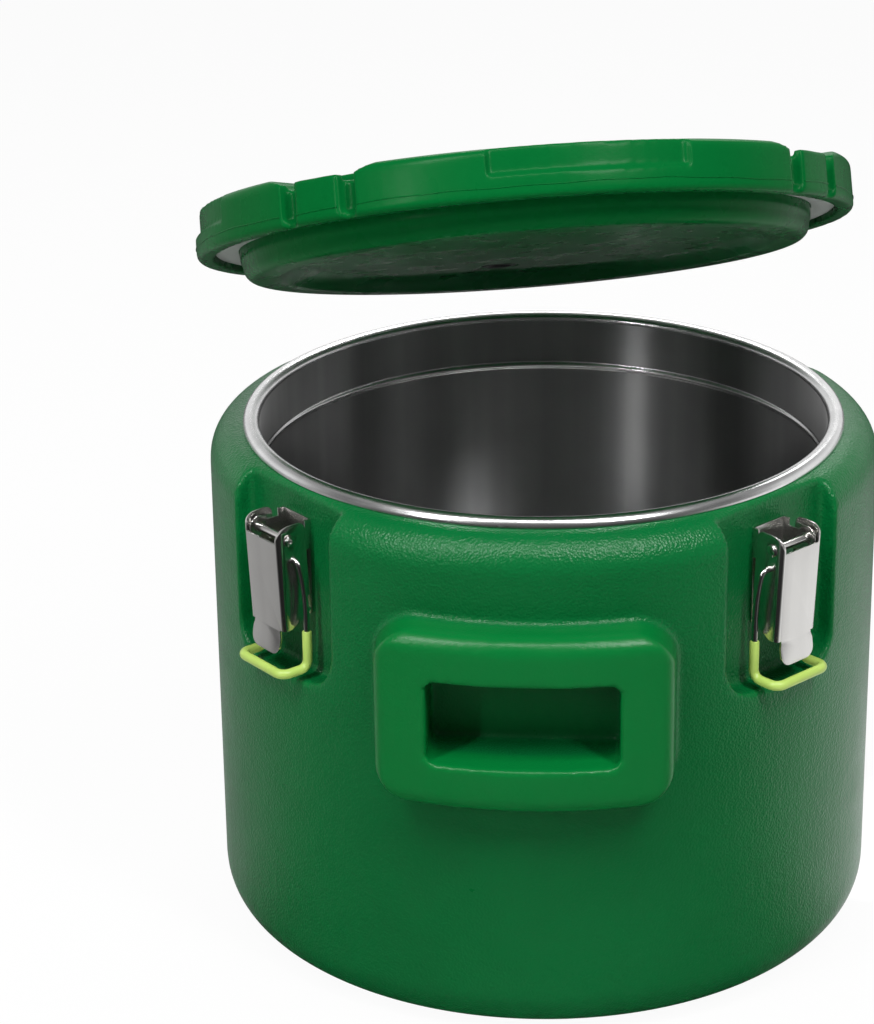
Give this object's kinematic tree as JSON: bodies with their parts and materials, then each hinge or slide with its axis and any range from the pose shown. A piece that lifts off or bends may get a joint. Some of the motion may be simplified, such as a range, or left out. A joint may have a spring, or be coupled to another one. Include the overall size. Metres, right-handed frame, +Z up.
{
  "type": "insulated food container",
  "caption": "Round insulated food container with a moulded plastic barrel, steel liner, recessed carrying handles, lift-off lid and wire-bail toggle latches.",
  "frame": {"origin": "middle of the base, on the surface that the barrel stands on", "axes": "+Z up along the barrel's axis; the handles face -Y and +Y; +X to the right, seen from the -Y handle"},
  "size_m": [0.4434, 0.4938, 0.5788],
  "materials": {
    "body_green": "satin",
    "lid_green": "satin",
    "liner_steel": "satin",
    "steel": "gloss",
    "brass": "satin",
    "sleeve_lime": "satin",
    "seal": "matte",
    "foam": "matte",
    "vent_black": "matte"
  },
  "bodies": {
    "container": {"outer_shell": "body_green", "insulation_foam": "foam", "inner_liner": "liner_steel", "foam_plug": "body_green", "latch_inserts": "brass", "latch_screws": "steel", "latch_base_1": "steel", "latch_base_2": "steel", "latch_base_3": "steel", "latch_base_4": "steel", "latch_pin_1": "steel", "latch_pin_2": "steel", "latch_pin_3": "steel", "latch_pin_4": "steel"},
    "seal": {"lid_gasket": "seal"},
    "lid": {"lid_shell": "lid_green", "lid_foam": "foam", "vent_bush": "vent_black"},
    "vent": {"vent_plug": "seal"},
    "lever_1": {"latch_lever_1": "steel"},
    "bail_1": {"bail_wire_1": "steel", "bail_sleeve_1": "sleeve_lime"},
    "lever_2": {"latch_lever_2": "steel"},
    "bail_2": {"bail_wire_2": "steel", "bail_sleeve_2": "sleeve_lime"},
    "lever_3": {"latch_lever_3": "steel"},
    "bail_3": {"bail_wire_3": "steel", "bail_sleeve_3": "sleeve_lime"},
    "lever_4": {"latch_lever_4": "steel"},
    "bail_4": {"bail_wire_4": "steel", "bail_sleeve_4": "sleeve_lime"}
  },
  "joints": [
    {"name": "lid_lift", "type": "hinge", "parent": "container", "child": "seal", "pos_m": [0, 0.288, 0.424], "axis": [-0.9606, -0.2574, -0.1045], "range_deg": [-24.5, 6]},
    {"name": "lid_turn", "type": "hinge", "parent": "seal", "child": "lid", "pos_m": [-0.01108, -0.00785, 0.46516], "axis": [-0.0977, 0.4008, 0.9109], "range_deg": [-18, 15]},
    {"name": "vent_lift", "type": "slide", "parent": "lid", "child": "vent", "axis": [-0.0977, 0.4008, 0.9109], "range_m": [0, 0.008]},
    {"name": "lever_1_turn", "type": "hinge", "parent": "container", "child": "lever_1", "pos_m": [-0.16163, -0.15072, 0.3165], "axis": [-0.682, 0.7314, 0], "range_deg": [0, 150]},
    {"name": "bail_1_swing", "type": "hinge", "parent": "lever_1", "child": "bail_1", "pos_m": [-0.15892, -0.1482, 0.3025], "axis": [0.682, -0.7314, 0], "range_deg": [-192, 0]},
    {"name": "lever_2_turn", "type": "hinge", "parent": "container", "child": "lever_2", "pos_m": [0.16163, -0.15072, 0.3165], "axis": [-0.682, -0.7314, 0], "range_deg": [0, 150]},
    {"name": "bail_2_swing", "type": "hinge", "parent": "lever_2", "child": "bail_2", "pos_m": [0.15892, -0.1482, 0.3025], "axis": [0.682, 0.7314, 0], "range_deg": [-192, 0]},
    {"name": "lever_3_turn", "type": "hinge", "parent": "container", "child": "lever_3", "pos_m": [0.16163, 0.15072, 0.3165], "axis": [0.682, -0.7314, 0], "range_deg": [0, 150]},
    {"name": "bail_3_swing", "type": "hinge", "parent": "lever_3", "child": "bail_3", "pos_m": [0.15892, 0.1482, 0.3025], "axis": [-0.682, 0.7314, 0], "range_deg": [-192, 0]},
    {"name": "lever_4_turn", "type": "hinge", "parent": "container", "child": "lever_4", "pos_m": [-0.16163, 0.15072, 0.3165], "axis": [0.682, 0.7314, 0], "range_deg": [0, 150]},
    {"name": "bail_4_swing", "type": "hinge", "parent": "lever_4", "child": "bail_4", "pos_m": [-0.15892, 0.1482, 0.3025], "axis": [-0.682, -0.7314, 0], "range_deg": [-192, 0]}
  ]
}
